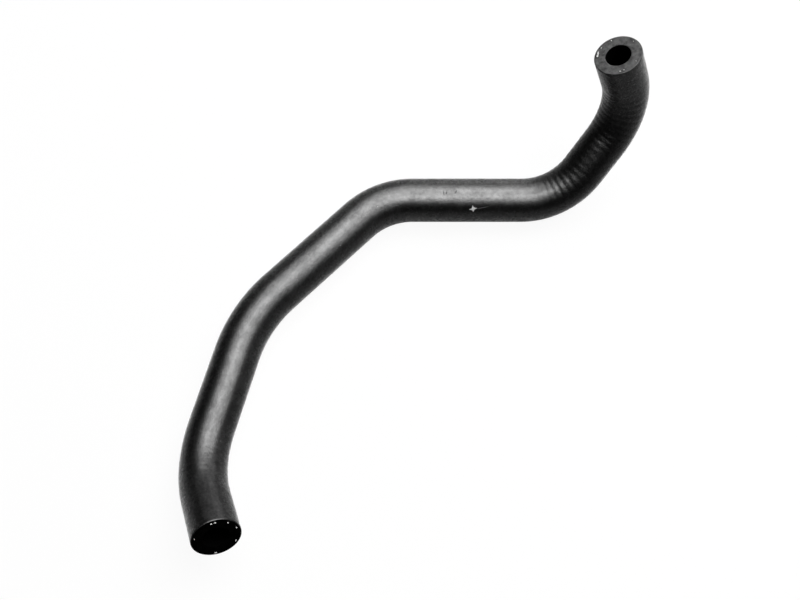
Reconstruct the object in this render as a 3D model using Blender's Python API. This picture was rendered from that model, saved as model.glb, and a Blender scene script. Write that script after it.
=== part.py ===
"""Moulded rubber hose for an engine's oil cooler, one solid, in metres with +Z up.

The hose is one round tube with a thick wall. Five moulded bends join six straight legs. The lower, middle and
upper legs lie flat on the floor, and the two end legs rise from it to their open ends. The legs are named from
the inlet end, at low X and Y, to the outlet end, which stands highest. The origin is on the floor, under the
middle of the hose's outer box, and the upper leg runs along +X.
"""

import math

import bmesh
import bpy
from mathutils import Matrix, Vector

# Round section of the tube.
BORE_DIAMETER = 0.0127
WALL_THICKNESS = 0.00565
OUTER_DIAMETER = BORE_DIAMETER + 2 * WALL_THICKNESS
CUT_EDGE_RADIUS = 0.0004  # both ends are cut square, and their edges are broken by this much

# Straight run of each leg, between its bends.
INLET_STRAIGHT = 0.025
LOWER_STRAIGHT = 0.040
MIDDLE_STRAIGHT = 0.060
UPPER_STRAIGHT = 0.060
RISER_STRAIGHT = 0.018
OUTLET_STRAIGHT = 0.019

# Heading of each leg on the floor plan, in degrees from +X towards +Y.
INLET_HEADING = 113.0
LOWER_HEADING = 75.0
MIDDLE_HEADING = 45.0
UPPER_HEADING = 0.0
RISER_HEADING = 46.0
OUTLET_HEADING = 164.0

# Slope of each leg, in degrees above the horizontal. The inlet leg comes down from its open end.
INLET_RISE = -29.5
FLAT_RISE = 0.0
RISER_RISE = 37.0
OUTLET_RISE = 68.0

# Radius of each bend, to the middle of the tube.
INLET_BEND_RADIUS = 0.050
LOWER_BEND_RADIUS = 0.078
MIDDLE_BEND_RADIUS = 0.042
UPPER_BEND_RADIUS = 0.040
OUTLET_BEND_RADIUS = 0.037

# How finely the round shapes are divided.
SECTION_SIDES = 36
BEND_STEP = 6.0  # degrees turned by each short length of a bend
CUT_EDGE_SEGMENTS = 2
SHARP_EDGE_ANGLE = 60.0  # degrees, above which an edge is one of the cut ends' edges

RUBBER_COLOUR = (0.018, 0.018, 0.019, 1.0)
RUBBER_ROUGHNESS = 0.5


def leg_direction(heading, rise):
    """Unit vector along a leg, from the inlet end towards the outlet end."""
    heading = math.radians(heading)
    rise = math.radians(rise)
    level = math.cos(rise)
    return Vector((math.cos(heading) * level, math.sin(heading) * level, math.sin(rise)))


def hose_legs():
    """Straight run and direction of each leg, from the inlet end."""
    return [
        (INLET_STRAIGHT, leg_direction(INLET_HEADING, INLET_RISE)),
        (LOWER_STRAIGHT, leg_direction(LOWER_HEADING, FLAT_RISE)),
        (MIDDLE_STRAIGHT, leg_direction(MIDDLE_HEADING, FLAT_RISE)),
        (UPPER_STRAIGHT, leg_direction(UPPER_HEADING, FLAT_RISE)),
        (RISER_STRAIGHT, leg_direction(RISER_HEADING, RISER_RISE)),
        (OUTLET_STRAIGHT, leg_direction(OUTLET_HEADING, OUTLET_RISE)),
    ]


def bend_radii():
    """Radius of the bend at the end of each leg but the last."""
    return [
        INLET_BEND_RADIUS,
        LOWER_BEND_RADIUS,
        MIDDLE_BEND_RADIUS,
        UPPER_BEND_RADIUS,
        OUTLET_BEND_RADIUS,
    ]


def inlet_section_matrix(inlet, lower):
    """Places the first section square to the inlet leg, turned so that the flat legs lie on a flat of the tube."""
    up = lower.rotation_difference(inlet) @ Vector((0, 0, 1))
    side = up.cross(inlet)
    square = Matrix((side, up, inlet)).transposed().to_4x4()
    half_a_side = Matrix.Rotation(math.pi / SECTION_SIDES, 4, "Z")
    return square @ half_a_side


def add_section(bm, matrix):
    """Ring of faces between the bore and the outside, which the sweep then carries along the hose."""
    for diameter in (BORE_DIAMETER, OUTER_DIAMETER):
        bmesh.ops.create_circle(bm, segments=SECTION_SIDES, radius=diameter / 2, matrix=matrix)
    bmesh.ops.bridge_loops(bm, edges=bm.edges[:])
    return bm.faces[:] + bm.edges[:]


def sweep_straight(bm, section, travel):
    """Draws the section out along a straight run."""
    drawn = bmesh.ops.extrude_face_region(bm, geom=section)["geom"]
    corners = [part for part in drawn if isinstance(part, bmesh.types.BMVert)]
    bmesh.ops.translate(bm, verts=corners, vec=travel)
    return drawn


def sweep_bend(bm, section, centre, axis, angle):
    """Turns the section about the bend's axis."""
    steps = math.ceil(math.degrees(angle) / BEND_STEP)
    turned = bmesh.ops.spin(bm, geom=section, cent=centre, axis=axis, angle=angle, steps=steps)
    return turned["geom_last"]


def sweep_hose(bm):
    """Sweeps the section along every leg and bend, starting at the world's origin."""
    legs = hose_legs()
    section = add_section(bm, inlet_section_matrix(legs[0][1], legs[1][1]))
    place = Vector((0, 0, 0))
    for leg, radius, next_leg in zip(legs, bend_radii(), legs[1:]):
        straight, direction = leg
        next_direction = next_leg[1]
        section = sweep_straight(bm, section, direction * straight)
        place += direction * straight
        axis = direction.cross(next_direction).normalized()
        inwards = axis.cross(direction)
        centre = place + inwards * radius
        angle = direction.angle(next_direction)
        section = sweep_bend(bm, section, centre, axis, angle)
        place = centre + Matrix.Rotation(angle, 3, axis) @ (place - centre)
    straight, direction = legs[-1]
    sweep_straight(bm, section, direction * straight)


def round_cut_edges(bm):
    """Breaks the sharp edges at the two cut ends, round the bore and round the outside."""
    sharp = [edge for edge in bm.edges if edge.calc_face_angle() > math.radians(SHARP_EDGE_ANGLE)]
    reach = min(CUT_EDGE_RADIUS, WALL_THICKNESS / 3)
    bmesh.ops.bevel(bm, geom=sharp, offset=reach, segments=CUT_EDGE_SEGMENTS, profile=0.5, affect="EDGES")


def stand_on_floor(bm):
    """Moves the hose so that its outer box stands on the floor, centred on the origin."""
    low = Vector(min(corner.co[i] for corner in bm.verts) for i in range(3))
    high = Vector(max(corner.co[i] for corner in bm.verts) for i in range(3))
    middle = (low + high) / 2
    bmesh.ops.translate(bm, verts=bm.verts[:], vec=(-middle.x, -middle.y, -low.z))


def rubber_material():
    """Black moulded rubber with a dull sheen."""
    rubber = bpy.data.materials.new("black_rubber")
    rubber.use_nodes = True
    shader = rubber.node_tree.nodes["Principled BSDF"]
    shader.inputs["Base Color"].default_value = RUBBER_COLOUR
    shader.inputs["Roughness"].default_value = RUBBER_ROUGHNESS
    shader.inputs["Metallic"].default_value = 0.0
    return rubber


def make_hose():
    """Builds the whole hose as one named solid."""
    bm = bmesh.new()
    sweep_hose(bm)
    bmesh.ops.recalc_face_normals(bm, faces=bm.faces[:])
    round_cut_edges(bm)
    stand_on_floor(bm)
    mesh = bpy.data.meshes.new("hose")
    bm.to_mesh(mesh)
    bm.free()
    mesh.shade_smooth()
    mesh.set_sharp_from_angle(angle=math.radians(SHARP_EDGE_ANGLE))
    mesh.materials.append(rubber_material())
    hose = bpy.data.objects.new("hose", mesh)
    bpy.context.scene.collection.objects.link(hose)
    return hose


def main():
    for old in list(bpy.data.objects):
        bpy.data.objects.remove(old)
    make_hose()


main()
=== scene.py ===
"""Looks of a moulded rubber hose for an engine's oil cooler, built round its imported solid.

Lengths are metres and +Z is up. The hose stands where its solid stands. Its six straight legs are the inlet,
lower, middle, upper, riser and outlet leg, named in order from the inlet end, and one bend joins each leg to
the next.

A place on the hose is given as on a tube pulled straight: the distance along it from the inlet end, and the
turn round it from its crown. The crown is the line that faces straight up on the legs that lie flat, and the
turn grows towards the left side of somebody who looks along the hose from the inlet end.
"""

import math
from collections import namedtuple

import bmesh
import bpy
from bpy.props import FloatProperty, FloatVectorProperty, IntProperty, PointerProperty
from mathutils import Matrix, Vector


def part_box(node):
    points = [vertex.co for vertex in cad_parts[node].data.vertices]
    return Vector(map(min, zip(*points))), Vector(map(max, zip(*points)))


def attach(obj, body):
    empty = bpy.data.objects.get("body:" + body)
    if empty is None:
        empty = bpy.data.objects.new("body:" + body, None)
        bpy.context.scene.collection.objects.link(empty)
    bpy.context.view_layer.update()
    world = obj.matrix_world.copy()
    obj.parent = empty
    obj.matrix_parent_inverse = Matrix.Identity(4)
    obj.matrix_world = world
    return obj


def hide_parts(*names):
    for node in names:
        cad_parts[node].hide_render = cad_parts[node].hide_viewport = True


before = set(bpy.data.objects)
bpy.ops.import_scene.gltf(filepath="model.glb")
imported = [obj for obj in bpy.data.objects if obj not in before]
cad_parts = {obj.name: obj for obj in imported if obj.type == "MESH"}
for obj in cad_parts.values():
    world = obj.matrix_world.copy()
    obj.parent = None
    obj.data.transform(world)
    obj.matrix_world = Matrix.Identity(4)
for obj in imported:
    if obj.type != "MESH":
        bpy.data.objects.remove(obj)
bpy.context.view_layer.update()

bl_info = {
    "name": "Moulded Oil Cooler Hose",
    "version": (1, 0, 0),
    "blender": (4, 5, 0),
    "location": "3D View > Sidebar > Hose",
    "description": "Builds a moulded rubber hose, the yarn ends in its cut faces and the stage it lies on",
    "category": "Object",
}

HOSE_SOLID = "hose"
HOSE_BODY = "root"

# Attributes that the meshes carry.
HOSE_PLACE = "hose_place"  # the place on the straightened tube: X to the crown, Y to the left, Z along it
CROWN = "crown"
BEND = "bend"
OUTWARDS = "outwards"
SIDEWAYS = "sideways"
YARN_SIZE = "yarn_size"

ROUTE_STEP = 0.0005  # between two points of the middle line
BORE_STEP = 0.003  # between two rings of the bore
LIP_SEGMENTS = 5
FACE_RINGS = 12  # rings of faces across each cut end
RADIUS_SLACK = 0.00001  # within which a point counts as on the skin or on the bore's wall
MILLIMETRE = 0.001

Station = namedtuple("Station", "place direction bend")


def length_property(name, description, default):
    """A size in metres."""
    return FloatProperty(name=name, description=description, default=default, unit="LENGTH", precision=5)


def share_property(name, description, default):
    """A number from 0 to 1."""
    return FloatProperty(
        name=name, description=description, default=default, min=0, max=1, subtype="FACTOR"
    )


def colour_property(name, description, default):
    """A colour in linear light."""
    return FloatVectorProperty(
        name=name, description=description, default=default, size=3, min=0, max=1, subtype="COLOR"
    )


def route_property(name, description, default, unit="LENGTH"):
    """A size for each leg or for each bend, from the inlet end."""
    return FloatVectorProperty(
        name=name, description=description, default=default, size=len(default), unit=unit
    )


class HoseSizes(bpy.types.PropertyGroup):
    """Sizes of the round tube and the route that it is moulded to"""

    bore_diameter: length_property("Bore", "Width of the hole through the hose", 0.0127)
    wall_thickness: length_property("Wall", "Thickness of the rubber wall", 0.00565)
    lip_radius: length_property("Lip", "Rounding of the edges at both cut ends", 0.0004)
    straights: route_property(
        "Straights", "Straight run of each leg", (0.025, 0.040, 0.060, 0.060, 0.018, 0.019)
    )
    headings: route_property(
        "Headings", "Heading of each leg on the floor plan, from +X towards +Y",
        [math.radians(heading) for heading in (113, 75, 45, 0, 46, 164)], "ROTATION",
    )
    rises: route_property(
        "Rises", "Slope of each leg above the horizontal",
        [math.radians(rise) for rise in (-29.5, 0, 0, 0, 37, 68)], "ROTATION",
    )
    bend_radii: route_property(
        "Bend Radii", "Radius of each bend, to the middle of the tube", (0.050, 0.078, 0.042, 0.040, 0.037)
    )
    sides: IntProperty(name="Sides", description="Number of flats round the tube", default=84, min=12)
    fine_step: length_property("Fine Step", "Distance between rings in a tight bend", 0.00036)
    coarse_step: length_property("Coarse Step", "Distance between rings on a straight leg", 0.0013)


class RippleSizes(bpy.types.PropertyGroup):
    """Ripples across the hose: strong from the end of the upper leg on, faint inside the other bends"""

    pitch: length_property("Pitch", "Distance from crest to crest", 0.0040)
    height: length_property("Height", "Depth of a full ripple", 0.0001)
    strong_from: length_property("Strong From", "Where the strong ripples start along the hose", 0.305)
    strong_to: length_property("Strong To", "Where the strong ripples end along the hose", 0.405)
    outer_share: share_property("Outer Share", "Strength of the strong ripples on the outside of a bend", 0.3)
    faint_share: share_property("Faint Share", "Strength of the ripples inside the other bends", 0.25)
    wander: length_property("Wander", "How far a crest strays along the hose", 0.0016)
    unevenness: share_property("Unevenness", "How much the depth of the ripples differs", 0.35)
    spread: length_property("Spread", "How far the ripples run on past a bend", 0.009)
    least_squeeze: share_property("Least Squeeze", "Squeeze of the rubber at which ripples start", 0.03)
    full_squeeze: share_property("Full Squeeze", "Squeeze of the rubber at which ripples are full", 0.24)
    seed: FloatProperty(name="Seed", description="Draws other irregularities", default=3.0)


class YarnSizes(bpy.types.PropertyGroup):
    """Sizes of the frayed yarn ends and of the ring that they stand in"""

    ring: share_property("Ring", "Radius of the ring of yarn ends, as a share of the hose's radius", 0.86)
    bundle_width: length_property("Bundle Width", "Width round the hose of a plain bundle of fibres", 0.0006)
    bundle_depth: share_property("Bundle Depth", "Depth of a bundle, as a share of its width", 0.6)
    fibre_radius: length_property("Fibre Radius", "Radius of a fibre at its foot", 0.00012)
    fibre_length: length_property("Fibre Length", "Length of a plain fibre", 0.0005)
    seed: IntProperty(name="Seed", description="Draws other fibres", default=7)


class RubberLook(bpy.types.PropertyGroup):
    """Colours and gloss of the rubber and the yarn"""

    skin_colour: colour_property("Skin", "Colour of the moulded skin", (0.002, 0.002, 0.002))
    bloom_colour: colour_property(
        "Bloom", "Colour of the dull grey film on the skin", (0.0045, 0.0045, 0.0045)
    )
    scuff_colour: colour_property("Scuff", "Colour of chafed rubber, chalk and dust", (0.8, 0.8, 0.8))
    # Painted shade: the inlet cut is the same cut rubber as the outlet cut, given a far darker colour because
    # its face lies in shade.
    inlet_cut_colour: colour_property(
        "Inlet Cut", "Colour of the cut face at the inlet end", (0.0015, 0.0015, 0.0015)
    )
    outlet_cut_colour: colour_property(
        "Outlet Cut", "Colour of the cut face at the outlet end", (0.06, 0.06, 0.06)
    )
    outlet_speck_colour: colour_property(
        "Outlet Specks", "Colour of the pale specks in the cut face at the outlet end", (0.16, 0.16, 0.16)
    )
    bore_colour: colour_property("Bore", "Colour of the bore's wall", (0.002, 0.002, 0.002))
    yarn_colour: colour_property("Yarn", "Colour of the reinforcing yarn", (0.8, 0.8, 0.79))
    skin_roughness: share_property("Roughness", "Roughness of the moulded skin", 0.27)
    outlet_gloss: share_property(
        "Outlet Gloss", "Strength of the gloss of the cut face at the outlet end", 0.1
    )


class StageSettings(bpy.types.PropertyGroup):
    """Camera and lamps, placed round the middle of the hose"""

    target: FloatVectorProperty(
        name="Target", description="Point that the camera looks at",
        size=3, default=(-0.01015, 0.01564, 0.0), subtype="TRANSLATION",
    )
    camera_distance: length_property("Camera Distance", "Camera's distance from its target", 0.5221)
    camera_elevation: FloatProperty(
        name="Camera Elevation", description="Camera's height above the horizon",
        default=math.radians(68.816), subtype="ANGLE",
    )
    lens: FloatProperty(
        name="Lens", description="Focal length in millimetres on a 36 mm sensor",
        default=42.9, unit="CAMERA",
    )
    softbox_radiance: FloatProperty(
        name="Overhead Softbox", description="Radiance of the softbox that lights the colours",
        default=5.4,
    )
    gloss_radiance: FloatProperty(
        name="Gloss Lamp",
        description="Radiance of the ceiling lamp that only the gloss shows, where it is brightest",
        default=41.0,
    )
    ceiling_height: length_property("Ceiling", "Height of the ceiling lamp above the floor", 1.2)
    ambient: FloatProperty(name="Ambient", description="Strength of the dim light all round", default=0.02)
    floor_size: length_property("Floor", "Width of the floor", 8.0)


def arithmetic(operation, turned=False):
    """A method that adds the node for a sign, with the wire before the other value or after it."""
    if turned:
        return lambda wire, value: wire.graph.math(operation, value, wire)
    return lambda wire, value: wire.graph.math(operation, wire, value)


class Wire:
    """An output of a node. Arithmetic on it adds Math nodes, or Vector Math nodes for a vector."""

    __add__, __radd__ = arithmetic("ADD"), arithmetic("ADD", turned=True)
    __sub__, __rsub__ = arithmetic("SUBTRACT"), arithmetic("SUBTRACT", turned=True)
    __mul__, __rmul__ = arithmetic("MULTIPLY"), arithmetic("MULTIPLY", turned=True)
    __truediv__, __rtruediv__ = arithmetic("DIVIDE"), arithmetic("DIVIDE", turned=True)
    __pow__ = arithmetic("POWER")

    def __init__(self, graph, socket):
        self.graph = graph
        self.socket = socket

    def other(self, name):
        """Another output of the same node."""
        return Wire(self.graph, open_socket(self.socket.node.outputs, name))

    def scaled(self, factor):
        """This vector, made longer by a number."""
        inputs = {"Vector": self, "Scale": factor}
        return self.graph.add("ShaderNodeVectorMath", {"operation": "SCALE"}, inputs)


def open_socket(sockets, name):
    """The socket in use at a number or of a name."""
    if isinstance(name, int):
        return sockets[name]
    return next(socket for socket in sockets if socket.name == name and socket.enabled)


# A noise pattern: the size of its lumps, how many finer layers it has, and the share that each of them keeps.
Pattern = namedtuple("Pattern", "size layers kept", defaults=(2.0, 0.5))


class Graph:
    """A node tree, with the one method that adds nodes to it."""

    def __init__(self, tree):
        self.tree = tree

    def add(self, kind, settings=None, inputs=None, output=None):
        """Adds a node: first its settings, then the values or wires of its sockets. Returns an output."""
        node = self.tree.nodes.new(kind)
        for name, value in (settings or {}).items():
            if name == "captures":
                for kind_of_value, title in value:
                    node.capture_items.new(kind_of_value, title)
            else:
                setattr(node, name, value)
        for name, value in (inputs or {}).items():
            self.fill(open_socket(node.inputs, name), value)
        if output is None:
            output = next((index for index, socket in enumerate(node.outputs) if socket.enabled), None)
        if output is None:
            return node
        return Wire(self, open_socket(node.outputs, output))

    def fill(self, socket, value):
        """Gives a socket a wire or a plain value."""
        if isinstance(value, Wire):
            self.tree.links.new(value.socket, socket)
        else:
            socket.default_value = value

    def math(self, operation, *values):
        """Arithmetic on numbers, or on vectors where one of the values is a vector."""
        vectors = [value for value in values if isinstance(value, Wire) and value.socket.type == "VECTOR"]
        kind = "ShaderNodeVectorMath" if vectors else "ShaderNodeMath"
        return self.add(kind, {"operation": operation}, dict(enumerate(values)))

    def cosine(self, angle):
        return self.math("COSINE", angle)

    def vector(self, x, y, z):
        """Vector made of three numbers."""
        return self.add("ShaderNodeCombineXYZ", {}, {"X": x, "Y": y, "Z": z})

    def parts(self, vector):
        """The three numbers of a vector."""
        x = self.add("ShaderNodeSeparateXYZ", {}, {"Vector": vector})
        return x, x.other("Y"), x.other("Z")

    def smooth(self, value, low, high):
        """0 below low and 1 above high, with a soft step between them."""
        inputs = {"Value": value, "From Min": low, "From Max": high}
        return self.add("ShaderNodeMapRange", {"interpolation_type": "SMOOTHSTEP"}, inputs)

    def noise(self, place, pattern):
        """Soft noise between about -1 and 1."""
        inputs = {"Vector": place, "Scale": 1.0 / pattern.size}
        inputs |= {"Detail": pattern.layers, "Roughness": pattern.kept}
        return (self.add("ShaderNodeTexNoise", {}, inputs) - 0.5) * 2.0

    def mix(self, factor, first, second):
        """Colour between two colours."""
        inputs = {"Factor": factor, "A": opaque(first), "B": opaque(second)}
        return self.add("ShaderNodeMix", {"data_type": "RGBA"}, inputs)


def opaque(colour):
    """A colour of three parts with full alpha, or the wire that it already is."""
    return colour if isinstance(colour, Wire) else (*colour, 1.0)


def darker(colour, share):
    """This share of a colour."""
    return [share * part for part in colour]


def blend(layers, shares):
    """Sum of the named layers, each by its share."""
    return sum(layers[name] * share for name, share in shares.items())


class Paint(Graph):
    """A new material whose shader is set through expressions."""

    def __init__(self, name):
        self.material = bpy.data.materials.new(name)
        self.material.use_nodes = True
        super().__init__(self.material.node_tree)
        self.shader = self.tree.nodes["Principled BSDF"]
        self.shader.inputs["Metallic"].default_value = 0.0

    def set(self, name, value):
        """Gives one of the shader's sockets a wire or a plain value."""
        self.fill(self.shader.inputs[name], value)

    def bump(self, height):
        """Raises the surface by a height in millimetres."""
        self.set("Normal", self.add("ShaderNodeBump", {}, {"Distance": MILLIMETRE, "Height": height}))

    def hose_place(self):
        """Place on the straightened tube."""
        return self.add("ShaderNodeAttribute", {"attribute_name": HOSE_PLACE}, output="Vector")


# Marks of handling on the skin: distance along in metres, turn in degrees, half sizes in metres, tilt in
# degrees, how much the mark bows, and how soft its edge is, from 0 to 1.
Mark = namedtuple("Mark", "along turn half_length half_width tilt bow softness")

WHITE_FLECK = [
    Mark(0.2723, -50.0, 0.0014, 0.0010, 20.0, 0.0, 0.6),
    Mark(0.2723, -50.0, 0.0025, 0.0005, 12.0, 0.0, 0.6),
    Mark(0.2722, -50.0, 0.0005, 0.0021, 8.0, 0.0, 0.6),
]
FLECK_TAIL = [
    Mark(0.2768, -47.5, 0.0048, 0.0003, 11.0, 5.0, 1.0),
]
DENTS = [
    Mark(0.2562, -9.0, 0.0003, 0.0017, 12.0, 0.0, 0.9),
    Mark(0.2577, -8.0, 0.0017, 0.0003, 70.0, 120.0, 0.9),
    Mark(0.2628, -5.0, 0.0016, 0.0003, 58.0, 60.0, 0.9),
    Mark(0.1483, -31.0, 0.0030, 0.0002, 66.0, 30.0, 0.9),
]
SMUDGES = [
    Mark(0.0958, -12.0, 0.0040, 0.0022, 10.0, 0.0, 1.0),
    Mark(0.2506, -91.0, 0.0012, 0.0006, 0.0, 0.0, 1.0),
    Mark(0.0528, 19.0, 0.0006, 0.0005, 0.0, 0.0, 1.0),
]

# The knit that shows through the skin: a course is a row of stitches across the hose, a wale one along it.
COURSE_PITCH = 0.0027
WALES = 56.0
KNIT_WANDER = 0.9  # radians
KNIT_DRIFT = Pattern(0.012, 1.0)
KNIT_PATCHES = Pattern(0.009)

GRAIN = Pattern(0.0014, 3.0, 0.7)
PORES = Pattern(0.00035, 2.0, 0.6)
LUMPS = Pattern(0.0035, 3.0, 0.6)
WEAR = Pattern(0.005, 3.0, 0.6)
FILM = Pattern(0.011, 4.0, 0.6)
FILM_SHARE = 0.5
TAIL_STRENGTH = 0.13  # of the scratch behind the white fleck

CHALK = Pattern(0.0007, 2.0, 0.6)
CHALK_STEP = (0.37, 0.395)  # where along the hose the chalky specks set in
CHALK_SHARE = 0.07
DUST_SPACING = 0.007
DUST_EDGE = (0.015, 0.045)  # solid and outer radius of a grain of dust, as shares of the spacing
DUST_SHARE = 0.15
SMUDGE_SHARE = 0.012

WAX_CLOUDS = Pattern(0.0055, 4.0, 0.65)
WAX_SHARES = {"even": 0.44, "clouds": 0.42, "grain": 0.7}
WAX_STEP = (0.29, 0.34)  # where along the hose the wax runs out
WAX_LOSS = 0.95

# What roughens the skin, and its relief in millimetres.
ROUGHENING = {"grain": 0.03, "wear": 0.06, "dents": 0.3, "scuff": 0.25, "smudges": -0.02}
RELIEF = {"knit": 0.022, "grain": 0.09, "pores": 0.008, "lumps": 0.06, "dents": -0.07, "scuff": 0.02}


def outer_radius(sizes):
    return sizes.bore_diameter / 2 + sizes.wall_thickness


def mark_mask(paint, along, turn, mark, radius):
    """1 in the middle of a mark on the skin and 0 outside it."""
    ahead = along - mark.along
    aside = (turn - math.radians(mark.turn)) * radius
    tilt = math.radians(mark.tilt)
    lengthways = ahead * math.cos(tilt) + aside * math.sin(tilt)
    sideways = aside * math.cos(tilt) - ahead * math.sin(tilt)
    if mark.bow:
        sideways = sideways - lengthways * lengthways * mark.bow
    reach = (lengthways / mark.half_length) ** 2.0 + (sideways / mark.half_width) ** 2.0
    return 1.0 - paint.smooth(reach, 1.0 - mark.softness, 1.0)


def skin_material(look, sizes):
    """Dull black moulded rubber: the knit under it shows, and film, wax, chalk and dust lie on it."""
    paint = Paint("moulded_skin")
    place = paint.hose_place()
    to_crown, to_left, along = paint.parts(place)
    turn = paint.math("ARCTAN2", to_left, to_crown)

    def masks(marks):
        return [mark_mask(paint, along, turn, mark, outer_radius(sizes)) for mark in marks]

    # The knit shows through as courses and wales, both broken up by the rubber.
    drift = paint.noise(place, KNIT_DRIFT) * KNIT_WANDER
    courses = paint.cosine(along * (math.tau / COURSE_PITCH) + drift)
    wales = paint.cosine(turn * WALES + drift)
    patches = paint.smooth(paint.noise(place, KNIT_PATCHES), -0.5, 0.5)
    scuff = sum(masks(FLECK_TAIL)) * TAIL_STRENGTH
    for mask in masks(WHITE_FLECK):
        scuff = paint.math("MAXIMUM", scuff, mask)
    layers = {
        "knit": courses * wales * patches,
        "grain": paint.noise(place, GRAIN),
        "pores": paint.noise(place, PORES),
        "lumps": paint.noise(place, LUMPS),
        "wear": paint.noise(place, WEAR),
        "scuff": scuff,
        "dents": sum(masks(DENTS)),
        "smudges": sum(masks(SMUDGES)),
    }

    film = paint.smooth(paint.noise(place, FILM), -0.4, 0.7) * FILM_SHARE
    chalk = paint.smooth(paint.noise(place, CHALK), 0.1, 0.4) * paint.smooth(along, *CHALK_STEP)
    cells = {"Vector": place, "Scale": 1.0 / DUST_SPACING}
    to_grain = paint.add("ShaderNodeTexVoronoi", {"feature": "F1"}, cells, "Distance")
    dust = 1.0 - paint.smooth(to_grain, *DUST_EDGE)
    dirt = paint.math("MINIMUM", dust * DUST_SHARE + layers["smudges"] * SMUDGE_SHARE, 1.0)
    colour = paint.mix(film, look.skin_colour, look.bloom_colour)
    for cover in (chalk * CHALK_SHARE, dirt, scuff):
        colour = paint.mix(cover, colour, look.scuff_colour)
    paint.set("Base Color", colour)
    paint.set("Roughness", look.skin_roughness + blend(layers, ROUGHENING))
    paint.set("IOR", 1.18)
    paint.set("Sheen Weight", 0.9)
    paint.set("Sheen Roughness", 0.25)

    # The wax that the mould left on the skin is cloudy, and most of it is gone from the riser on.
    clouds = paint.smooth(paint.noise(place, WAX_CLOUDS), -0.4, 0.45)
    wax = blend({"even": 1.0, "clouds": clouds, "grain": layers["grain"]}, WAX_SHARES)
    wax = wax * (1.0 - paint.smooth(along, *WAX_STEP) * WAX_LOSS)
    paint.set("Coat Weight", wax * (1.0 - paint.math("MINIMUM", layers["dents"], 1.0)))
    paint.set("Coat IOR", 1.25)
    paint.set("Coat Roughness", 0.28)
    paint.bump(blend(layers, RELIEF))
    return paint.material


MOTTLE = Pattern(0.0032, 4.0, 0.65)
KNIFE_GRAIN = Pattern(0.0006, 3.0, 0.6)
KNIFE_SPECKS = Pattern(0.0013)
SPECK_SHARE = 0.5
SCORE_PITCH = 0.0007  # between two lines that the knife left
SCORE_WANDER = 3.0  # radians
CUT_TONES = (0.3, 1.6)  # darkest and lightest part of the mottle, as shares of the face's colour
CUT_RELIEF = {"fine": 0.02, "scores": 0.006, "mottle": 0.03}  # millimetres


def cut_material(name, colour, speck_colour, gloss):
    """Rubber cut across by a knife: matt and a little mottled, with fine score lines and pale specks."""
    paint = Paint(name)
    place = paint.hose_place()
    to_crown = paint.parts(place)[0]
    mottle = paint.noise(place, MOTTLE)
    fine = paint.noise(place, KNIFE_GRAIN)
    scores = paint.cosine(to_crown * (math.tau / SCORE_PITCH) + mottle * SCORE_WANDER)
    specks = paint.smooth(paint.noise(place, KNIFE_SPECKS), 0.42, 0.62) * SPECK_SHARE
    shade = paint.smooth(mottle + fine * 0.25, -0.45, 0.55)
    tone = paint.mix(shade, *[darker(colour, share) for share in CUT_TONES])
    paint.set("Base Color", paint.mix(specks, tone, speck_colour))
    paint.set("Roughness", 0.62 + fine * 0.08)
    paint.set("IOR", 1.3)
    paint.set("Specular IOR Level", gloss)
    paint.bump(blend({"fine": fine, "scores": scores, "mottle": mottle}, CUT_RELIEF))
    return paint.material


BORE_GRAIN = Pattern(0.0008)
BORE_RELIEF = 0.02  # millimetres


def bore_material(look):
    """Black rubber of the inner tube, dull and without gloss."""
    paint = Paint("bore_lining")
    grain = paint.noise(paint.hose_place(), BORE_GRAIN)
    shade = paint.smooth(grain, -1.0, 1.0)
    paint.set("Base Color", paint.mix(shade, darker(look.bore_colour, 0.5), look.bore_colour))
    paint.set("Roughness", 0.85 + grain * 0.05)
    paint.set("IOR", 1.3)
    paint.set("Specular IOR Level", 0.0)
    paint.bump(grain * BORE_RELIEF)
    return paint.material


YARN_SOIL = Pattern(0.0012, 3.0)
YARN_SOIL_SHARE = 0.5
YARN_FIBRES = Pattern(0.0002)
YARN_RELIEF = 0.03  # millimetres


def yarn_material(look):
    """Off-white twisted yarn, a little soiled."""
    paint = Paint("cut_yarn")
    place = paint.add("ShaderNodeTexCoord", {}, {}, "Object")
    soil = paint.smooth(paint.noise(place, YARN_SOIL), -0.3, 0.9)
    soiled = paint.mix(soil * YARN_SOIL_SHARE, look.yarn_colour, darker(look.yarn_colour, 0.3))
    paint.set("Base Color", soiled)
    paint.set("Roughness", 0.8 + soil * 0.1)
    paint.bump(paint.noise(place, YARN_FIBRES) * YARN_RELIEF)
    return paint.material


def leg_direction(heading, rise):
    """Unit vector along a leg, from the inlet end towards the outlet end."""
    level = math.cos(rise)
    return Vector((math.cos(heading) * level, math.sin(heading) * level, math.sin(rise)))


def trace_route(sizes):
    """Stations along the middle line, from an inlet end at the origin. A bend points to its centre."""
    directions = [leg_direction(heading, rise) for heading, rise in zip(sizes.headings, sizes.rises)]
    unbent = Vector((0, 0, 0))
    stations = []
    place = Vector((0, 0, 0))
    for index, direction in enumerate(directions):
        travel = direction * sizes.straights[index]
        steps = math.ceil(travel.length / ROUTE_STEP)
        stations += [Station(place + travel * (step / steps), direction, unbent) for step in range(steps)]
        place = place + travel
        if direction == directions[-1]:
            break
        axis = direction.cross(directions[index + 1]).normalized()
        inwards = axis.cross(direction)
        radius = sizes.bend_radii[index]
        centre = place + inwards * radius
        angle = direction.angle(directions[index + 1])
        steps = math.ceil(angle * radius / ROUTE_STEP)
        for step in range(steps):
            turned = Matrix.Rotation(angle * step / steps, 3, axis)
            spoke = turned @ (place - centre)
            stations.append(Station(centre + spoke, turned @ direction, turned @ inwards / radius))
        place = centre + Matrix.Rotation(angle, 3, axis) @ (place - centre)
    stations.append(Station(place, directions[-1], unbent))
    return stations


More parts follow.
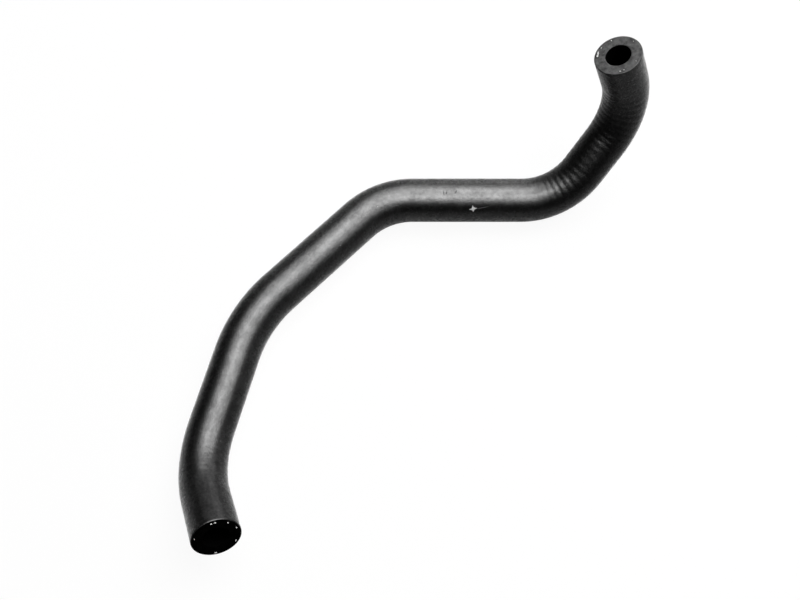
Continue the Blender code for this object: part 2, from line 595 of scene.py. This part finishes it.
def stand_on_solid(stations, radius):
    """Moves the middle line so that the tube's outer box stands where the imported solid's does."""
    low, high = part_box(HOSE_SOLID)
    own_low, own_high = Vector(), Vector()
    for axis in range(3):
        reach = [radius * math.sqrt(max(0.0, 1 - station.direction[axis] ** 2)) for station in stations]
        own_low[axis] = min(station.place[axis] - out for station, out in zip(stations, reach))
        own_high[axis] = max(station.place[axis] + out for station, out in zip(stations, reach))
    shift = (low + high - own_low - own_high) / 2
    shift.z = low.z - own_low.z
    return [station._replace(place=station.place + shift) for station in stations]


def carry_crown(stations, sizes):
    """Direction of the crown at each station: straight up on the flat legs, and never twisted."""
    inlet, lower = [leg_direction(sizes.headings[leg], sizes.rises[leg]) for leg in (0, 1)]
    crown = lower.rotation_difference(inlet) @ Vector((0, 0, 1))
    crowns = [crown]
    for station, following in zip(stations, stations[1:]):
        crown = station.direction.rotation_difference(following.direction) @ crown
        crowns.append(crown)
    return crowns


def soften(vectors, spread):
    """Running average of a vector along the middle line, over this distance each way."""
    window = max(1, round(spread / ROUTE_STEP))
    sums = [Vector((0, 0, 0))]
    for vector in vectors:
        sums.append(sums[-1] + vector)
    softened = []
    for index in range(len(vectors)):
        first, last = max(0, index - window), min(len(vectors), index + window + 1)
        softened.append((sums[last] - sums[first]) / (last - first))
    return softened


def route_length(stations):
    """Length of the middle line."""
    return sum((following.place - station.place).length for station, following in zip(stations, stations[1:]))


def make_route(sizes, ripples):
    """Stations of the hose in place, with the crown and the softened bend at each."""
    stations = stand_on_solid(trace_route(sizes), outer_radius(sizes))
    crowns = carry_crown(stations, sizes)
    bends = soften([station.bend for station in stations], ripples.spread)
    return stations, crowns, bends


def new_object(name, mesh):
    """Object at the origin, in the scene."""
    piece = bpy.data.objects.new(name, mesh)
    bpy.context.scene.collection.objects.link(piece)
    return piece


def store_vectors(mesh, name, vectors):
    """Keeps one vector for each corner of a mesh."""
    attribute = mesh.attributes.new(name, "FLOAT_VECTOR", "POINT")
    attribute.data.foreach_set("vector", [part for vector in vectors for part in vector])


def arc(centre, radius, first, last, segments):
    """Points of an arc between two angles in degrees, without the first."""
    angles = [math.radians(first + (last - first) * step / segments) for step in range(1, segments + 1)]
    return [(centre[0] + radius * math.cos(angle), centre[1] + radius * math.sin(angle)) for angle in angles]


def run(first, last, steps):
    """Points of a straight run, without the first."""
    return [
        (first[0] + (last[0] - first[0]) * step / steps, first[1] + (last[1] - first[1]) * step / steps)
        for step in range(1, steps + 1)
    ]


def wall_outline(length, sizes, bend_at):
    """The wall as cut along its length: a closed line, X along the hose and Y out from its middle line."""
    outer = outer_radius(sizes)
    bore = sizes.bore_diameter / 2
    lip = sizes.lip_radius
    tight = outer / min(sizes.bend_radii)
    outside = [lip]
    while outside[-1] < length - lip - sizes.coarse_step:
        share = min(1.0, 1.25 * bend_at(outside[-1]).length * outer / tight)
        outside.append(outside[-1] + sizes.coarse_step + (sizes.fine_step - sizes.coarse_step) * share)
    line = [(distance, outer) for distance in outside]
    line += [(length - lip, outer)]
    line += arc((length - lip, outer - lip), lip, 90, 0, LIP_SEGMENTS)
    line += run((length, outer - lip), (length, bore + lip), FACE_RINGS)
    line += arc((length - lip, bore + lip), lip, 0, -90, LIP_SEGMENTS)
    line += run((length - lip, bore), (lip, bore), round(length / BORE_STEP))
    line += arc((lip, bore + lip), lip, -90, -180, LIP_SEGMENTS)
    line += run((0.0, bore + lip), (0.0, outer - lip), FACE_RINGS)
    line += arc((lip, outer - lip), lip, 180, 90, LIP_SEGMENTS)[:-1]
    return line


def line_mesh(name, points, closed=False):
    """Mesh of edges from point to point."""
    mesh = bpy.data.meshes.new(name)
    edges = [(index, index + 1) for index in range(len(points) - 1)]
    if closed:
        edges.append((len(points) - 1, 0))
    mesh.from_pydata(points, edges, [])
    return mesh


SOCKET_KINDS = {
    float: "NodeSocketFloat",
    int: "NodeSocketInt",
    bpy.types.Object: "NodeSocketObject",
    bpy.types.Material: "NodeSocketMaterial",
}


class Shape(Graph):
    """A new Geometry Nodes tree, with its own geometry and a named input for each of these values."""

    def __init__(self, name, values):
        super().__init__(bpy.data.node_groups.new(name, "GeometryNodeTree"))
        self.tree.is_modifier = True
        sockets = self.tree.interface
        sockets.new_socket("Geometry", in_out="INPUT", socket_type="NodeSocketGeometry")
        for title, value in values.items():
            sockets.new_socket(title, in_out="INPUT", socket_type=SOCKET_KINDS[type(value)])
        sockets.new_socket("Geometry", in_out="OUTPUT", socket_type="NodeSocketGeometry")
        self.given = self.add("NodeGroupInput")

    def captured(self, geometry, title, vector):
        """Geometry that keeps this vector of its own, under a title."""
        inputs = {"Geometry": geometry, title: vector}
        return self.add("GeometryNodeCaptureAttribute", {"captures": [("VECTOR", title)]}, inputs, "Geometry")

    def stored(self, name):
        """A vector that the mesh carries."""
        kind = {"data_type": "FLOAT_VECTOR"}
        return self.add("GeometryNodeInputNamedAttribute", kind, {"Name": name}, "Attribute")

    def painted(self, geometry, material, **where):
        """Geometry with a material, on all of it or on a selection."""
        inputs = {"Geometry": geometry, **where, "Material": material}
        return self.add("GeometryNodeSetMaterial", {}, inputs)

    def realized(self, geometry):
        """Geometry with its instances made real."""
        return self.add("GeometryNodeRealizeInstances", {}, {"Geometry": geometry})

    def finish(self, geometry):
        self.add("NodeGroupOutput", {}, {"Geometry": geometry})
        return self.tree


def titled(settings, names):
    """Values for a tree's inputs: Fibre Radius for the setting fibre_radius, and so on."""
    return {name.replace("_", " ").title(): getattr(settings, name) for name in names}


def run_tree(piece, tree, values):
    """Runs a tree on a piece with these values of its inputs, and leaves the piece a plain mesh."""
    modifier = piece.modifiers.new(tree.name, "NODES")
    modifier.node_group = tree
    for item in tree.interface.items_tree:
        if item.in_out == "INPUT" and item.name in values:
            modifier[item.identifier] = values[item.name]
    depsgraph = bpy.context.evaluated_depsgraph_get()
    finished = bpy.data.meshes.new_from_object(
        piece.evaluated_get(depsgraph), preserve_all_data_layers=True, depsgraph=depsgraph
    )
    if not finished.polygons:
        raise RuntimeError(f"{tree.name} made no faces for {piece.name}")
    piece.modifiers.remove(modifier)
    piece.data = finished
    finished.name = piece.name
    face_outwards(finished)


def face_outwards(mesh):
    """Turns every face of a closed mesh outwards."""
    bm = bmesh.new()
    bm.from_mesh(mesh)
    bmesh.ops.recalc_face_normals(bm, faces=bm.faces[:])
    bm.to_mesh(mesh)
    bm.free()


RIPPLE_FADE_IN = 0.020
RIPPLE_FADE_OUT = 0.014
RIPPLE_SHARPNESS = 1.3  # power that narrows the furrows
RIPPLE_STRAY = Pattern(1.6, 1.0)
STRAY_STRETCH = 60.0  # how fast the stray changes along the hose, per metre
RIPPLE_DEPTHS = Pattern(1.0, 1.0)
DEPTH_STRETCH = 300.0  # how fast the depth changes along the hose, per metre
OUTSIDE_SQUEEZE = (-0.12, 0.08)  # squeeze on the outside of a bend, and where the inside begins
PLAIN_END = (0.003, 0.012)  # distance from a cut end where ripples start, and where they are full


def tube_tree(values):
    """Turns the wall's outline into a straight tube, lays it along the route and ripples its skin."""
    shape = Shape("hose_wall", values)
    given = shape.given.other
    position = shape.add("GeometryNodeInputPosition")

    # The outline carries its own place, and the ring that it goes round carries its direction.
    outline = shape.add("GeometryNodeMeshToCurve", {}, {"Mesh": given("Geometry")})
    outline = shape.captured(outline, "Wall", position)
    circle = {"Resolution": given("Sides"), "Radius": 1.0}
    ring = shape.add("GeometryNodeCurvePrimitiveCircle", {"mode": "RADIUS"}, circle)
    ring = shape.captured(ring, "Round", position)
    tube = shape.add("GeometryNodeCurveToMesh", {}, {"Curve": ring, "Profile Curve": outline})
    along, radius = shape.parts(outline.other("Wall"))[:2]
    to_crown, to_left = shape.parts(ring.other("Round"))[:2]

    route = {"transform_space": "ORIGINAL"}
    route = shape.add("GeometryNodeObjectInfo", route, {"Object": given("Route")}, "Geometry")
    route = shape.add("GeometryNodeMeshToCurve", {}, {"Mesh": route})
    length = shape.add("GeometryNodeCurveLength", {}, {"Curve": route})

    def carried(name):
        """A vector that the route carries, at this distance along it, with the place and direction there."""
        kind = {"mode": "LENGTH", "data_type": "FLOAT_VECTOR"}
        inputs = {"Curves": route, "Value": shape.stored(name), "Length": along}
        return shape.add("GeometryNodeSampleCurve", kind, inputs, "Value")

    crown = carried(CROWN)
    bend = carried(BEND)
    middle, tangent = crown.other("Position"), crown.other("Tangent")
    left = shape.math("CROSS_PRODUCT", crown, tangent)
    crown = shape.math("NORMALIZE", shape.math("CROSS_PRODUCT", tangent, left))
    left = shape.math("NORMALIZE", left)
    outwards = crown.scaled(to_crown) + left.scaled(to_left)
    squeeze = shape.add("ShaderNodeVectorMath", {"operation": "DOT_PRODUCT"}, {0: outwards, 1: bend}, "Value")
    squeeze = squeeze * given("Outer Radius")

    # Ripples run across the hose. They stray a little and differ in depth, and the cut ends stay plain.
    stray = shape.vector(to_crown, to_left, along * STRAY_STRETCH + given("Seed"))
    stray = shape.noise(stray, RIPPLE_STRAY) * given("Wander")
    phase = (along + stray) * math.tau / given("Pitch")
    crest = 0.5 - 0.5 * shape.cosine(phase)
    depth = shape.noise(shape.vector(given("Seed"), 0.0, along * DEPTH_STRETCH), RIPPLE_DEPTHS)
    depth = 1.0 + given("Unevenness") * depth
    faint = shape.smooth(squeeze, given("Least Squeeze"), given("Full Squeeze")) * given("Faint Share")
    strong = shape.smooth(along, given("Strong From"), given("Strong From") + RIPPLE_FADE_IN)
    strong = strong * shape.smooth(along, given("Strong To"), given("Strong To") - RIPPLE_FADE_OUT)
    outside = 1.0 - shape.smooth(squeeze, *OUTSIDE_SQUEEZE)
    strong = strong * (1.0 - outside * (1.0 - given("Outer Share")))
    from_end = shape.math("MINIMUM", along, length - along)
    strength = shape.math("MAXIMUM", faint, strong) * shape.smooth(from_end, *PLAIN_END)
    on_skin = shape.math("GREATER_THAN", radius, given("Outer Radius") - RADIUS_SLACK)
    furrow = crest ** RIPPLE_SHARPNESS * depth * strength * on_skin * given("Height")

    laid = {"Geometry": tube, "Position": middle + outwards.scaled(radius - furrow)}
    tube = shape.add("GeometryNodeSetPosition", {}, laid)
    place = shape.vector(to_crown * radius, to_left * radius, along)
    told = {"Geometry": tube, "Name": HOSE_PLACE, "Value": place}
    tube = shape.add("GeometryNodeStoreNamedAttribute", {"data_type": "FLOAT_VECTOR"}, told)
    tube = shape.add("GeometryNodeSetShadeSmooth", {}, {"Geometry": tube})
    tube = shape.painted(shape.realized(tube), given("Skin"))
    inside_edge = shape.math("LESS_THAN", radius, given("Outer Radius") - given("Lip"))
    regions = {
        # The inlet cut face gets the material with the painted shade.
        "Inlet Cut": inside_edge * shape.math("LESS_THAN", along, given("Lip")),
        "Outlet Cut": inside_edge * shape.math("GREATER_THAN", along, length - given("Lip")),
        "Bore": shape.math("LESS_THAN", radius, given("Bore Radius") + RADIUS_SLACK),
    }
    for name, selection in regions.items():
        tube = shape.painted(tube, given(name), Selection=selection)
    return shape.finish(tube)


# Turn of each yarn end in a cut face, in degrees, and its width and depth as shares of a plain bundle's.
INLET_YARNS = [
    (5, 0.7, 0.7), (-5, 1.0, 0.5), (-40, 0.6, 0.6), (-73, 0.8, 0.7),
    (-124, 0.8, 0.7), (170, 0.8, 0.7), (71, 0.4, 0.4),
]
OUTLET_YARNS = [
    (57, 3.0, 1.1), (-61, 0.7, 0.6), (-51, 0.7, 0.5), (-178, 0.6, 0.5),
    (116, 0.5, 0.5), (81, 0.6, 0.4), (-103, 0.5, 0.4),
]
FIBRE_SIDES = 6
FIBRE_TAPER = 0.5  # radius at a fibre's tip, as a share of that at its foot
FIBRES_WIDE = 4
FIBRES_DEEP = 3
MOST_LEAN = 0.6  # radians
MOST_TURN = 6.28
LEAST_STRETCH = (0.8, 0.8, 0.7)
MOST_STRETCH = (1.3, 1.3, 1.3)


def yarn_tree(values):
    """Sets a frayed bundle of fibres on each yarn's point and turns it to stand out of the cut face."""
    shape = Shape("yarn_bundles", values)
    given = shape.given.other

    def drawn(low, high, shift):
        """A random vector for each point, between two vectors."""
        inputs = {"Min": low, "Max": high, "Seed": given("Seed") + shift}
        return shape.add("FunctionNodeRandomValue", {"data_type": "FLOAT_VECTOR"}, inputs, "Value")

    fibre = {
        "Vertices": FIBRE_SIDES,
        "Radius Top": given("Fibre Radius") * FIBRE_TAPER,
        "Radius Bottom": given("Fibre Radius"),
        "Depth": given("Fibre Length"),
    }
    grid = {
        "Size X": given("Bundle Width"),
        "Size Y": given("Bundle Width") * given("Bundle Depth"),
        "Vertices X": FIBRES_WIDE,
        "Vertices Y": FIBRES_DEEP,
    }
    lean = drawn((-MOST_LEAN, -MOST_LEAN, 0.0), (MOST_LEAN, MOST_LEAN, MOST_TURN), 1)
    bundle = {
        "Points": shape.add("GeometryNodeMeshGrid", {}, grid, "Mesh"),
        "Instance": shape.add("GeometryNodeMeshCone", {}, fibre, "Mesh"),
        "Rotation": shape.add("FunctionNodeEulerToRotation", {}, {"Euler": lean}),
        "Scale": drawn(LEAST_STRETCH, MOST_STRETCH, 2),
    }
    bundle = shape.realized(shape.add("GeometryNodeInstanceOnPoints", {}, bundle))

    # A bundle is as wide round the hose as its size says, and stands straight out of the face.
    aligned = "FunctionNodeAlignRotationToVector"
    sideways = shape.add(aligned, {"axis": "X"}, {"Vector": shape.stored(SIDEWAYS)})
    upright = {"Rotation": sideways, "Vector": shape.stored(OUTWARDS)}
    yarns = {
        "Points": given("Geometry"),
        "Instance": bundle,
        "Rotation": shape.add(aligned, {"axis": "Z", "pivot_axis": "X"}, upright),
        "Scale": shape.stored(YARN_SIZE),
    }
    yarns = shape.realized(shape.add("GeometryNodeInstanceOnPoints", {}, yarns))
    return shape.finish(shape.painted(yarns, given("Yarn")))


# The ceiling lamp that the gloss shows is uneven. So it is overlapping rectangles that shine through each
# other, each with its least and most X and Y, as shares of its height, and with its share of the brightest
# one's radiance.
CEILING_LAYERS = [
    (-0.3, 0.0, -0.2, 0.0, 1.0),
    (-0.2, 0.4, -0.3, 0.0, 0.3),
    (0.0, 0.2, -0.6, 0.7, 0.26),
    (0.0, 1.3, 0.2, 0.9, 0.26),
    (0.0, 1.3, -0.1, 1.8, 0.21),
    (-0.4, 0.0, 0.2, 1.8, 0.18),
    (-0.4, 0.9, -0.5, 0.9, 0.16),
    (-0.2, 1.3, -0.8, 0.2, 0.12),
    (-0.7, 0.2, 0.2, 1.8, 0.05),
    (-0.5, -0.2, -0.1, 0.25, 0.2),
]
CEILING_GAP = 0.02

# A panel lamp's azimuth and elevation, and half of what it spans each way as seen from the hose, in degrees.
Panel = namedtuple("Panel", "azimuth elevation half_width half_height")
SOFTBOX = Panel(135, 62, 24, 24)
PANEL_DISTANCE = 1.5

# Low panels that only the gloss shows, each with its radiance as a share of the ceiling lamp's.
LOW_PANELS = [
    (Panel(67, 11, 22, 11), 0.01),
    (Panel(112, 11, 22, 11), 0.04),
    (Panel(157, 11, 22, 11), 0.09),
    (Panel(202, 11, 22, 11), 0.022),
]

WHITE = (1.0, 1.0, 1.0)
GROUND_GAP = 0.0002  # between the ground and the hose
GROUND_COLOUR = 0.8  # to the light that falls on it

# The ground's own glow and the share of its light that it gives back, to the camera and to what mirrors it.
GROUND_SEEN = (0.94, 0.065)
GROUND_MIRRORED = (0.1, 0.75)


def look_from(azimuth, elevation):
    """Unit vector towards somebody who looks along +Y at azimuth 0, and rotation to look back along it."""
    level = math.cos(elevation)
    back = Vector((math.sin(azimuth) * level, -math.cos(azimuth) * level, math.sin(elevation)))
    return back, (-back).to_track_quat("-Z", "Y").to_euler()


def add_lamp(name, width, depth, radiance):
    """Flat rectangular lamp that shines down and that the camera doesn't see."""
    lamp = bpy.data.lights.new(name, "AREA")
    lamp.shape = "RECTANGLE"
    lamp.size, lamp.size_y = width, depth
    lamp.energy = radiance * math.pi * width * depth
    panel = new_object(name, lamp)
    panel.visible_camera = False
    return panel


def add_panel_lamp(name, panel, radiance):
    """Lamp that stands round the hose and faces it."""
    half_angles = (math.radians(panel.half_width), math.radians(panel.half_height))
    width, depth = [2 * PANEL_DISTANCE * math.tan(half_angle) for half_angle in half_angles]
    lamp = add_lamp(name, width, depth, radiance)
    back, lamp.rotation_euler = look_from(math.radians(panel.azimuth), math.radians(panel.elevation))
    lamp.location = back * PANEL_DISTANCE
    return lamp


def ground_material():
    """White ground: almost plain white to the camera and in reflections, but lit enough to hold a shadow."""
    material = bpy.data.materials.new("white_ground")
    material.use_nodes = True
    graph = Graph(material.node_tree)
    graph.tree.nodes.clear()
    path = graph.add("ShaderNodeLightPath")
    mirrored = graph.math("MAXIMUM", path.other("Is Glossy Ray"), path.other("Is Transmission Ray"))

    def lit(share):
        return graph.add("ShaderNodeBsdfDiffuse", {}, {"Color": opaque([share] * 3)})

    def white(glow, lit_share):
        glowing = graph.add("ShaderNodeEmission", {}, {"Color": opaque(WHITE), "Strength": glow})
        return graph.add("ShaderNodeAddShader", {}, {0: glowing, 1: lit(lit_share)})

    def between(factor, first, second):
        return graph.add("ShaderNodeMixShader", {}, {0: factor, 1: first, 2: second})

    above = between(path.other("Is Camera Ray"), lit(GROUND_COLOUR), white(*GROUND_SEEN))
    above = between(mirrored, above, white(*GROUND_MIRRORED))
    clear = graph.add("ShaderNodeBsdfTransparent")
    backfacing = graph.add("ShaderNodeNewGeometry", {}, {}, "Backfacing")
    graph.add("ShaderNodeOutputMaterial", {}, {"Surface": between(backfacing, above, clear)})
    return material


def set_world(ambient):
    """White behind everything that the camera sees, and a dim grey room as a source of light."""
    world = bpy.data.worlds.new("studio")
    bpy.context.scene.world = world
    world.use_nodes = True
    graph = Graph(world.node_tree)
    graph.tree.nodes.clear()
    path = graph.add("ShaderNodeLightPath")
    backdrop, room = [
        graph.add("ShaderNodeBackground", {}, {"Color": opaque(WHITE), "Strength": strength})
        for strength in (1.0, ambient)
    ]
    seen = graph.add("ShaderNodeMixShader", {}, {0: path.other("Is Camera Ray"), 1: room, 2: backdrop})
    graph.add("ShaderNodeOutputWorld", {}, {"Surface": seen})


class MOULDED_HOSE_OT_build_tube(bpy.types.Operator):
    """Build the hose's wall with its ripples, cut ends and bore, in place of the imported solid"""

    bl_idname = "moulded_hose.build_tube"
    bl_label = "Build Tube"

    def execute(self, context):
        scene = context.scene
        sizes, ripples, look = scene.hose_sizes, scene.hose_ripples, scene.hose_look
        stations, crowns, bends = make_route(sizes, ripples)
        length = route_length(stations)

        route_mesh = line_mesh("route", [station.place for station in stations])
        store_vectors(route_mesh, CROWN, crowns)
        store_vectors(route_mesh, BEND, bends)
        route = new_object("route", route_mesh)

        def bend_at(distance):
            return bends[min(len(bends) - 1, round(distance / length * (len(bends) - 1)))]

        outline = [(along, out, 0.0) for along, out in wall_outline(length, sizes, bend_at)]
        tube = new_object("moulded_hose", line_mesh("moulded_hose", outline, closed=True))
        inlet_painted_shade_colour, outlet_colour = look.inlet_cut_colour, look.outlet_cut_colour
        values = {
            "Route": route,
            "Sides": sizes.sides,
            "Outer Radius": outer_radius(sizes),
            "Bore Radius": sizes.bore_diameter / 2,
            "Lip": sizes.lip_radius,
            **titled(ripples, [name for name in ripples.__annotations__ if name != "spread"]),
            "Skin": skin_material(look, sizes),
            # Painted shade: the inlet cut face takes its darkened colour for both the face and its specks,
            # and no gloss.
            "Inlet Cut": cut_material("inlet_cut_face", inlet_painted_shade_colour, inlet_painted_shade_colour, 0.0),
            "Outlet Cut": cut_material(
                "outlet_cut_face", outlet_colour, look.outlet_speck_colour, look.outlet_gloss
            ),
            "Bore": bore_material(look),
        }
        run_tree(tube, tube_tree(values), values)
        bpy.data.objects.remove(route)
        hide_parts(HOSE_SOLID)
        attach(tube, HOSE_BODY)
        return {"FINISHED"}


class MOULDED_HOSE_OT_build_yarn_ends(bpy.types.Operator):
    """Build the frayed yarn ends that stand in a ring in both cut faces"""

    bl_idname = "moulded_hose.build_yarn_ends"
    bl_label = "Build Yarn Ends"

    def execute(self, context):
        scene = context.scene
        sizes, yarns = scene.hose_sizes, scene.hose_yarns
        stations, crowns = make_route(sizes, scene.hose_ripples)[:2]
        places, outwards, sideways, yarn_sizes = [], [], [], []
        for end, ends, side in ((0, INLET_YARNS, -1), (-1, OUTLET_YARNS, 1)):
            station, crown = stations[end], crowns[end]
            left = crown.cross(station.direction)
            for turn, width, depth in ends:
                spoke = crown * math.cos(math.radians(turn)) + left * math.sin(math.radians(turn))
                places.append(station.place + spoke * (yarns.ring * outer_radius(sizes)))
                outwards.append(station.direction * side)
                sideways.append(spoke.cross(station.direction))
                yarn_sizes.append((width, depth, 1.0))
        mesh = bpy.data.meshes.new("yarn_ends")
        mesh.from_pydata(places, [], [])
        store_vectors(mesh, OUTWARDS, outwards)
        store_vectors(mesh, SIDEWAYS, sideways)
        store_vectors(mesh, YARN_SIZE, yarn_sizes)
        yarn_ends = new_object("yarn_ends", mesh)
        values = titled(yarns, ("bundle_width", "bundle_depth", "fibre_radius", "fibre_length", "seed"))
        values["Yarn"] = yarn_material(scene.hose_look)
        run_tree(yarn_ends, yarn_tree(values), values)
        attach(yarn_ends, HOSE_BODY)
        return {"FINISHED"}


class MOULDED_HOSE_OT_build_stage(bpy.types.Operator):
    """Set up the white ground, the soft studio lamps and the camera"""

    bl_idname = "moulded_hose.build_stage"
    bl_label = "Build Stage"

    def execute(self, context):
        settings = context.scene.hose_stage
        mesh = bpy.data.meshes.new("ground")
        half = settings.floor_size / 2
        corners = [(-half, -half, 0), (half, -half, 0), (half, half, 0), (-half, half, 0)]
        mesh.from_pydata(corners, [], [(0, 1, 2, 3)])
        mesh.materials.append(ground_material())
        ground = new_object("ground", mesh)
        ground.location.z = -GROUND_GAP

        set_world(settings.ambient)
        add_panel_lamp("overhead_softbox", SOFTBOX, settings.softbox_radiance).visible_glossy = False
        for layer, (west, east, south, north, share) in enumerate(CEILING_LAYERS):
            height = settings.ceiling_height + layer * CEILING_GAP
            width, depth = (east - west) * height, (north - south) * height
            lamp = add_lamp(f"ceiling_gloss_{layer}", width, depth, settings.gloss_radiance * share)
            lamp.location = (height * (west + east) / 2, height * (south + north) / 2, height)
            lamp.visible_diffuse = False
        for panel, share in LOW_PANELS:
            lamp = add_panel_lamp(f"low_gloss_{panel.azimuth}", panel, settings.gloss_radiance * share)
            lamp.visible_diffuse = False

        back, rotation = look_from(0.0, settings.camera_elevation)
        lens = bpy.data.cameras.new("camera")
        lens.lens = settings.lens
        lens.sensor_width = 36.0
        lens.clip_start = 0.01
        camera = new_object("camera", lens)
        camera.location = Vector(settings.target) + back * settings.camera_distance
        camera.rotation_euler = rotation
        context.scene.camera = camera
        context.scene.view_settings.view_transform = "Standard"
        return {"FINISHED"}


class MOULDED_HOSE_PT_panel(bpy.types.Panel):
    """Lists the hose's sizes, colours and pieces in the sidebar"""

    bl_idname = "MOULDED_HOSE_PT_panel"
    bl_label = "Moulded Hose"
    bl_space_type = "VIEW_3D"
    bl_region_type = "UI"
    bl_category = "Hose"

    def draw(self, context):
        layout = self.layout
        for setting in SETTINGS:
            group = getattr(context.scene, setting)
            box = layout.box()
            for name in group.__annotations__:
                box.prop(group, name)
        for operator in OPERATORS:
            layout.operator(operator.bl_idname)


OPERATORS = (MOULDED_HOSE_OT_build_tube, MOULDED_HOSE_OT_build_yarn_ends, MOULDED_HOSE_OT_build_stage)
SETTINGS = {
    "hose_sizes": HoseSizes,
    "hose_ripples": RippleSizes,
    "hose_yarns": YarnSizes,
    "hose_look": RubberLook,
    "hose_stage": StageSettings,
}


def register():
    for part in (*SETTINGS.values(), *OPERATORS, MOULDED_HOSE_PT_panel):
        bpy.utils.register_class(part)
    for name, group in SETTINGS.items():
        setattr(bpy.types.Scene, name, PointerProperty(type=group))


def unregister():
    for name in SETTINGS:
        delattr(bpy.types.Scene, name)
    for part in (MOULDED_HOSE_PT_panel, *reversed(OPERATORS), *SETTINGS.values()):
        bpy.utils.unregister_class(part)


def main():
    register()
    bpy.ops.moulded_hose.build_tube()
    bpy.ops.moulded_hose.build_yarn_ends()
    bpy.ops.moulded_hose.build_stage()


if __name__ == "__main__":
    main()
